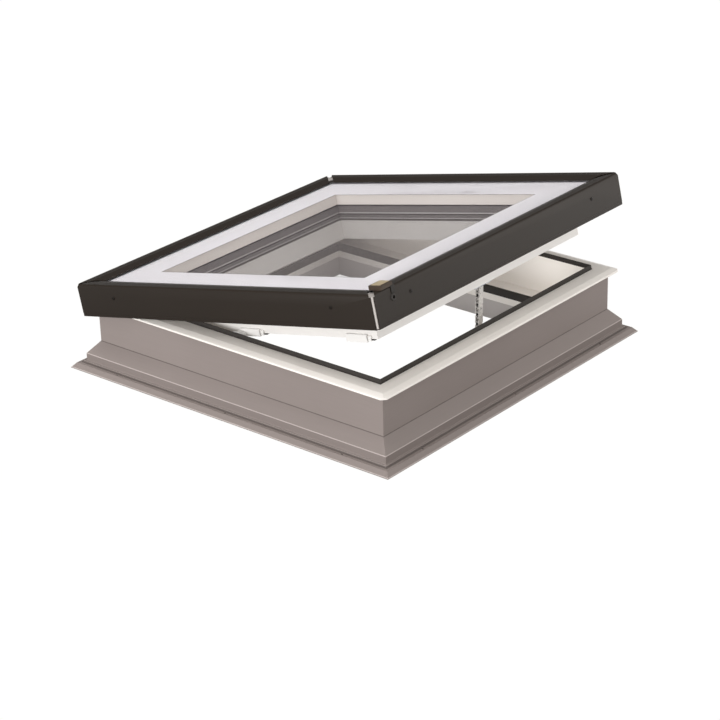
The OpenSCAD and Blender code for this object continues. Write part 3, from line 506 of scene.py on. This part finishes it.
for number in range(8):
    turned = Matrix.Rotation(math.radians(90 * (number // 2)), 4, "Z")
    seat = Matrix.Translation((screw_across if number % 2 else -screw_across,
                               cover_face + screw_rise, screw_z))
    screw = head if number == 7 else bpy.data.objects.new("screw", head.data.copy())
    screw.name = "cover_screw_%d" % (number + 1)
    screw.data.transform(swing @ turned @ seat @ Matrix.Rotation(math.radians(-90), 4, "X"))
    if number < 7:
        scene.collection.objects.link(screw)
    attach(screw, "sash")
    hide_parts("cover_screws")

# ---- Guide blocks ----
# White moulded blocks clipped under the sash, with black rubber buffers, that
# centre the sash as it closes.
copy_of("guide_blocks", "sash", moulded_white, 0.0008, 2)
copy_of("block_feet", "sash", seal_black, 0.0006, 2)

# ---- Rain sensor ----
# A small brown housing with a gold sensing field, strapped over the front cover's
# corner; its wire enters through a rubber grommet.
sensor_brown = powder_coat("sensor_plastic", tone(56, 46, 38), tone(74, 62, 52), 0.45)
copy_of("sensor_body", "sash", sensor_brown, 0.0008, 3)
gold = Finish("sensor_gold", Metallic=0.25)
tooth_pitch = 0.0030
teeth = gold.axes()[0] / tooth_pitch
teeth = gold.add("ShaderNodeMath", {"operation": "FRACT"}, i0=teeth) < 0.30
grime = gold.noise(150, detail=3.0)
gold.set(Base_Color=gold.blend(teeth, gold.tones(0.5 + grime, tone(190, 172, 138),
                                                 tone(212, 195, 162)),
                               tone(156, 138, 106)),
         Roughness=0.35 + grime * 0.2)
paint(gold.material, "sensor_field")
copy_of("sensor_strap", "sash", screw_finish, 0.0003)
copy_of("sensor_grommet", "sash", seal_black, 0.0004)

# ---- Chain and drive ----
# A push chain of steel plates that locks straight one way, driven by a sprocket in
# a slim housing under the rebate; the housing swivels with the chain.
drive_z, drive_y = 0.062, -0.377
chain_lean = math.radians(1.1138)
chain_across = (0, math.cos(chain_lean), math.sin(chain_lean))
chain_up = (0, -math.sin(chain_lean), math.cos(chain_lean))
chain_pitch, top_rivet, inner_gap = 0.0125, 0.19837, 0.00323


def chain_plate(name, inside):
    """Bright nickelled plate, with painted shade, black, on its inner part between its rivets.
    """
    finish = Finish(name, Metallic=0.45)
    across = finish.reach(chain_across, (0, drive_y, drive_z))
    links = (top_rivet - finish.reach(chain_up, (0, drive_y, drive_z))) / chain_pitch
    between = finish.add("ShaderNodeMath", {"operation": "FRACT"}, i0=links)
    # Painted shade: black on the plate's inner part between rivets, where the gaps between
    # plates lie in shadow.
    gap_shade = (abs(across) < inside) * (abs(between - 0.5) < 0.30)
    cloud = finish.noise(60, detail=4.0)
    metal = finish.tones(0.5 + cloud, tone(206, 203, 199), tone(238, 235, 231))
    finish.set(Base_Color=finish.blend(gap_shade, metal, tone(18, 15, 13)),
               Roughness=0.3 + cloud * 0.2)
    finish.bump(cloud, 0.0001, 0.4)
    return finish.material


chain_light = chain_plate("chain_backs", 0.0)
rivet_light = steel("chain_rivets", tone(206, 204, 202), tone(236, 234, 232), 0.25)
link_outer = copy_of("chain_outer_links", "drive", chain_light, 0.00015)
chain_dark = chain_plate("chain_plates", inner_gap)
link_inner = copy_of("chain_inner_links", "drive", chain_dark, 0.00015)
rivets = copy_of("chain_rivets", "drive", rivet_light, 0.0002)
for part in (link_outer, link_inner, rivets):
    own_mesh(part)
copy_of("chain_end_link", "end_link", rivet_light, 0.0003)
paint(plastic("drive_grey", tone(196, 196, 196), tone(212, 212, 212), 0.4, 0.3),
      "drive_housing", "drive_lid", "drive_gear_case")
paint(rubber("cap_black", tone(28, 28, 28), tone(44, 44, 44)), "drive_cap_left",
      "drive_cap_right")
paint(steel("motor_case", tone(70, 72, 76), tone(104, 106, 110), 0.35), "drive_motor")
